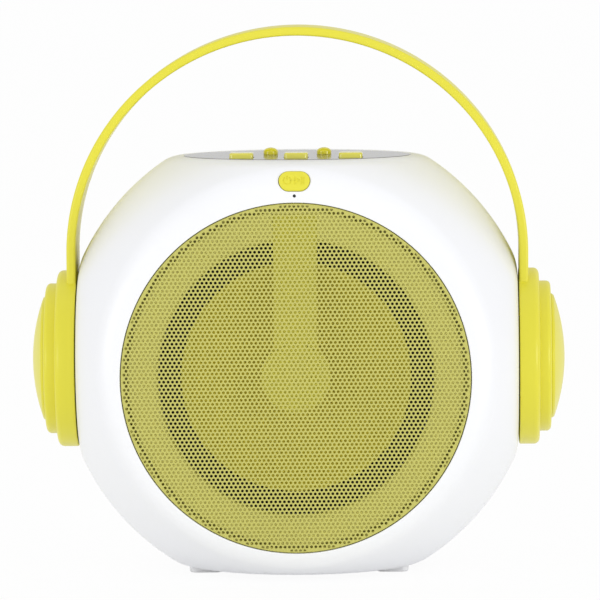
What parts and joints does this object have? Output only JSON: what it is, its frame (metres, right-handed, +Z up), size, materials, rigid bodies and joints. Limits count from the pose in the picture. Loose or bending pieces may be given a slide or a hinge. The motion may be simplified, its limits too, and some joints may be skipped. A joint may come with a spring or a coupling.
{
  "type": "portable karaoke speaker",
  "caption": "Round white karaoke speaker with a large yellow perforated grille, oval power button, grey control panel with buttons and knobs, and a headphone-shaped carry handle that swings.",
  "frame": {"origin": "centre of the object's footprint on the surface it stands on, under the feet", "axes": "+Z up, -Y the front with the grille, +X to the right seen from the front; the handle turns about X"},
  "size_m": [0.2656, 0.151, 0.2705],
  "materials": {
    "white_plastic": "glossy white moulded plastic",
    "white_rubber": "soft matt white rubber",
    "yellow_plastic": "semi-gloss yellow moulded plastic",
    "knob_plastic": "glossy deep yellow plastic",
    "grey_panel": "high-gloss grey plastic",
    "grille_paint": "olive-yellow powder-painted perforated steel",
    "cone_paper": "yellow coated paper cone",
    "black_foam": "black rubber roll",
    "spider_cloth": "resin-stiffened cloth",
    "zinc_steel": "zinc-plated steel",
    "ferrite": "dark sintered ferrite",
    "copper": "enamelled copper winding",
    "circuit_board": "green solder-masked board",
    "black_plastic": "matt black plastic",
    "cell_wrap": "shrink-wrapped cell",
    "wire_red": "red wire insulation"
  },
  "bodies": {
    "body": {"front_shell": "white_plastic", "rear_shell": "white_plastic", "feet": "white_rubber", "top_panel": "grey_panel", "front_grille": "grille_paint", "baffle_ring": "yellow_plastic", "bridge_arm": "yellow_plastic", "hub_dome": "knob_plastic", "light_board": "circuit_board", "driver_basket": "zinc_steel", "driver_surround": "black_foam", "driver_cone": "cone_paper", "dust_cap": "cone_paper", "driver_spider": "spider_cloth", "voice_coil": "copper", "driver_top_plate": "zinc_steel", "driver_magnet": "ferrite", "driver_yoke": "zinc_steel", "driver_terminal": "circuit_board", "speaker_lead": "wire_red", "control_board": "circuit_board", "panel_switches": "black_plastic", "knob_sockets": "zinc_steel", "power_board": "circuit_board", "power_switch": "black_plastic", "status_light": "black_plastic", "main_board": "circuit_board", "board_parts": "black_plastic", "heat_sink": "zinc_steel", "battery_holder": "black_plastic", "battery_cells": "cell_wrap", "socket_board": "circuit_board", "mic_jack": "black_plastic", "aux_jack": "black_plastic", "charge_socket": "zinc_steel", "pivot_bush_left": "black_plastic", "pivot_bush_right": "black_plastic", "shell_screws": "zinc_steel", "baffle_screws": "zinc_steel", "driver_screws": "zinc_steel", "board_screws": "zinc_steel"},
    "handle": {"handle_band": "yellow_plastic", "ear_pad_left": "yellow_plastic", "ear_pad_right": "yellow_plastic", "cup_cover_left": "yellow_plastic", "cup_cover_right": "yellow_plastic", "cup_cap_left": "yellow_plastic", "cup_cap_right": "yellow_plastic", "pivot_washers": "zinc_steel", "pivot_screws": "zinc_steel", "band_screws": "zinc_steel"},
    "power_button": {"power_button": "yellow_plastic"},
    "button_left": {"button_left": "yellow_plastic"},
    "button_middle": {"button_middle": "yellow_plastic"},
    "button_right": {"button_right": "yellow_plastic"},
    "knob_left": {"knob_left": "knob_plastic", "knob_shaft_left": "zinc_steel"},
    "knob_right": {"knob_right": "knob_plastic", "knob_shaft_right": "zinc_steel"}
  },
  "joints": [
    {"name": "handle_swing", "type": "hinge", "parent": "body", "child": "handle", "pos_m": [0, 0, 0.105], "axis": [1, 0, 0], "range_deg": [-90, 90]},
    {"name": "power_press", "type": "slide", "parent": "body", "child": "power_button", "axis": [0, 0.9397, -0.3419], "range_m": [0, 0.0006], "stiffness_N_per_m": 800, "springref_m": -0.0003},
    {"name": "left_press", "type": "slide", "parent": "body", "child": "button_left", "axis": [0, 0, -1], "range_m": [0, 0.0006], "stiffness_N_per_m": 800, "springref_m": -0.0003},
    {"name": "middle_press", "type": "slide", "parent": "body", "child": "button_middle", "axis": [0, 0, -1], "range_m": [0, 0.0006], "stiffness_N_per_m": 800, "springref_m": -0.0003},
    {"name": "right_press", "type": "slide", "parent": "body", "child": "button_right", "axis": [0, 0, -1], "range_m": [0, 0.0006], "stiffness_N_per_m": 800, "springref_m": -0.0003},
    {"name": "left_knob_turn", "type": "hinge", "parent": "body", "child": "knob_left", "pos_m": [-0.0133, 0.004, 0.2062], "axis": [0, 0, 1], "range_deg": [-150, 150]},
    {"name": "right_knob_turn", "type": "hinge", "parent": "body", "child": "knob_right", "pos_m": [0.0133, 0.004, 0.2062], "axis": [0, 0, 1], "range_deg": [-150, 150]}
  ]
}
